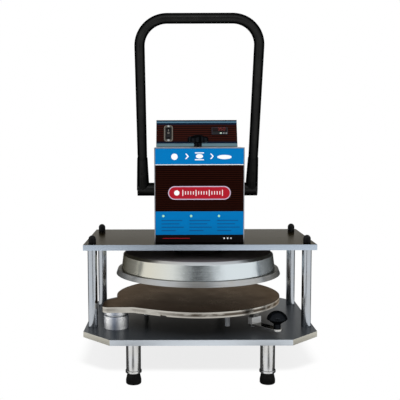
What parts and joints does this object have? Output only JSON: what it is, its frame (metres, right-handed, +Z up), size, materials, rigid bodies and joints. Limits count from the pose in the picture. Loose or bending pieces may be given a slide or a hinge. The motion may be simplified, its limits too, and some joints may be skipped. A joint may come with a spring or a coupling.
{
  "type": "manual dough press",
  "caption": "Manual dough press: a looped handle drives a heated round upper platen down a ram onto a swing-out lower platen, under a boxed mechanism with a sloped control panel.",
  "frame": {"origin": "on the floor under the middle of the base plate, on the ram's axis", "axes": "+X to the operator's right, +Y to the back, +Z up"},
  "size_m": [0.61, 0.526, 0.9527],
  "materials": {
    "plate_aluminium": "brushed",
    "polished_steel": "polished",
    "satin_steel": "satin",
    "zinc_steel": "zinc plated",
    "spring_steel": "oiled",
    "ground_steel": "ground",
    "housing_steel": "brushed",
    "printed_face": "printed, semi-gloss",
    "cast_aluminium": "machined",
    "coated_aluminium": "non-stick coated",
    "bearing_bronze": "machined",
    "black_powder_coat": "gloss",
    "black_phenolic": "gloss",
    "black_plastic": "matt",
    "grey_plastic": "matt",
    "display_window": "gloss",
    "black_rubber": "matt",
    "insulation_board": "matt"
  },
  "bodies": {
    "frame": {"base_plate": "plate_aluminium", "top_plate": "plate_aluminium", "pillars": "polished_steel", "base_bolts": "zinc_steel", "cap_nuts": "black_phenolic", "leg_tubes": "satin_steel", "leg_studs": "zinc_steel", "foot_rings": "satin_steel", "rubber_feet": "black_rubber", "pivot_base": "polished_steel", "pivot_spindle": "zinc_steel", "thrust_washer": "zinc_steel", "support_posts": "satin_steel", "mechanism_housing": "housing_steel", "face_plate": "printed_face", "rear_cover": "housing_steel", "rear_cover_screws": "zinc_steel", "cable_gland": "black_plastic", "bearing_plates": "zinc_steel", "bearing_bolts": "zinc_steel", "shaft_bushes": "bearing_bronze", "ram_guide": "bearing_bronze", "spring_rods": "zinc_steel", "return_springs": "spring_steel", "screw_bush": "bearing_bronze", "control_console": "housing_steel", "control_panel": "printed_face", "switch_plate": "housing_steel", "switch_screws": "zinc_steel", "switch_body": "black_plastic", "controller_case": "black_plastic", "controller_window": "display_window"},
    "handle": {"handle_tube": "black_powder_coat", "handle_hubs": "black_powder_coat", "hub_set_screws": "zinc_steel", "cross_shaft": "satin_steel", "drive_pinion": "zinc_steel"},
    "ram": {"ram": "ground_steel", "ram_yoke": "zinc_steel", "yoke_screws": "zinc_steel", "platen_mount": "cast_aluminium", "platen_bolts": "zinc_steel", "platen_cover": "polished_steel", "insulation_disc": "insulation_board", "heater_disc": "cast_aluminium", "upper_platen": "cast_aluminium"},
    "swing": {"lower_platen": "coated_aluminium", "pivot_collar": "polished_steel", "platen_arm": "cast_aluminium", "arm_spacer": "cast_aluminium", "arm_screws": "zinc_steel", "arm_knob": "black_phenolic"},
    "adjuster": {"thickness_knob": "black_phenolic", "lead_screw": "satin_steel"},
    "stop": {"stop_nut": "bearing_bronze"},
    "switch_rocker": {"rocker": "black_plastic"},
    "key_set": {"set_key": "grey_plastic"},
    "key_down": {"down_key": "grey_plastic"},
    "key_up": {"up_key": "grey_plastic"}
  },
  "joints": [
    {"name": "handle_pull", "type": "hinge", "parent": "frame", "child": "handle", "pos_m": [0, 0.059, 0.4856], "axis": [1, 0, 0], "range_deg": [0, 90]},
    {"name": "ram_slide", "type": "slide", "parent": "frame", "child": "ram", "axis": [0, 0, -1], "range_m": [0, 0.0597], "stiffness_N_per_m": 1500, "springref_m": -0.2, "deforming": ["return_springs"]},
    {"name": "platen_swing", "type": "hinge", "parent": "frame", "child": "swing", "pos_m": [-0.222, -0.1375, 0.185], "axis": [0, 0, -1], "range_deg": [0, 100]},
    {"name": "thickness_turn", "type": "hinge", "parent": "frame", "child": "adjuster", "pos_m": [0, 0, 0.615], "axis": [0, 0, 1], "range_deg": [0, 1080]},
    {"name": "stop_slide", "type": "slide", "parent": "frame", "child": "stop", "axis": [0, 0, -1], "range_m": [0, 0.0062]},
    {"name": "rocker_tilt", "type": "hinge", "parent": "frame", "child": "switch_rocker", "pos_m": [-0.0835, 0.11645, 0.64663], "axis": [1, 0, 0], "range_deg": [0, 16]},
    {"name": "set_key_press", "type": "slide", "parent": "frame", "child": "key_set", "axis": [0, 0.9041, -0.4274], "range_m": [0, 0.0006], "stiffness_N_per_m": 500, "springref_m": -0.001},
    {"name": "down_key_press", "type": "slide", "parent": "frame", "child": "key_down", "axis": [0, 0.9041, -0.4274], "range_m": [0, 0.0006], "stiffness_N_per_m": 500, "springref_m": -0.001},
    {"name": "up_key_press", "type": "slide", "parent": "frame", "child": "key_up", "axis": [0, 0.9041, -0.4274], "range_m": [0, 0.0006], "stiffness_N_per_m": 500, "springref_m": -0.001}
  ],
  "couplings": [
    {"joint": "ram_slide", "follows": "handle_pull", "m_per_rad": 0.038},
    {"joint": "stop_slide", "follows": "thickness_turn", "m_per_rad": 0.00031831}
  ]
}
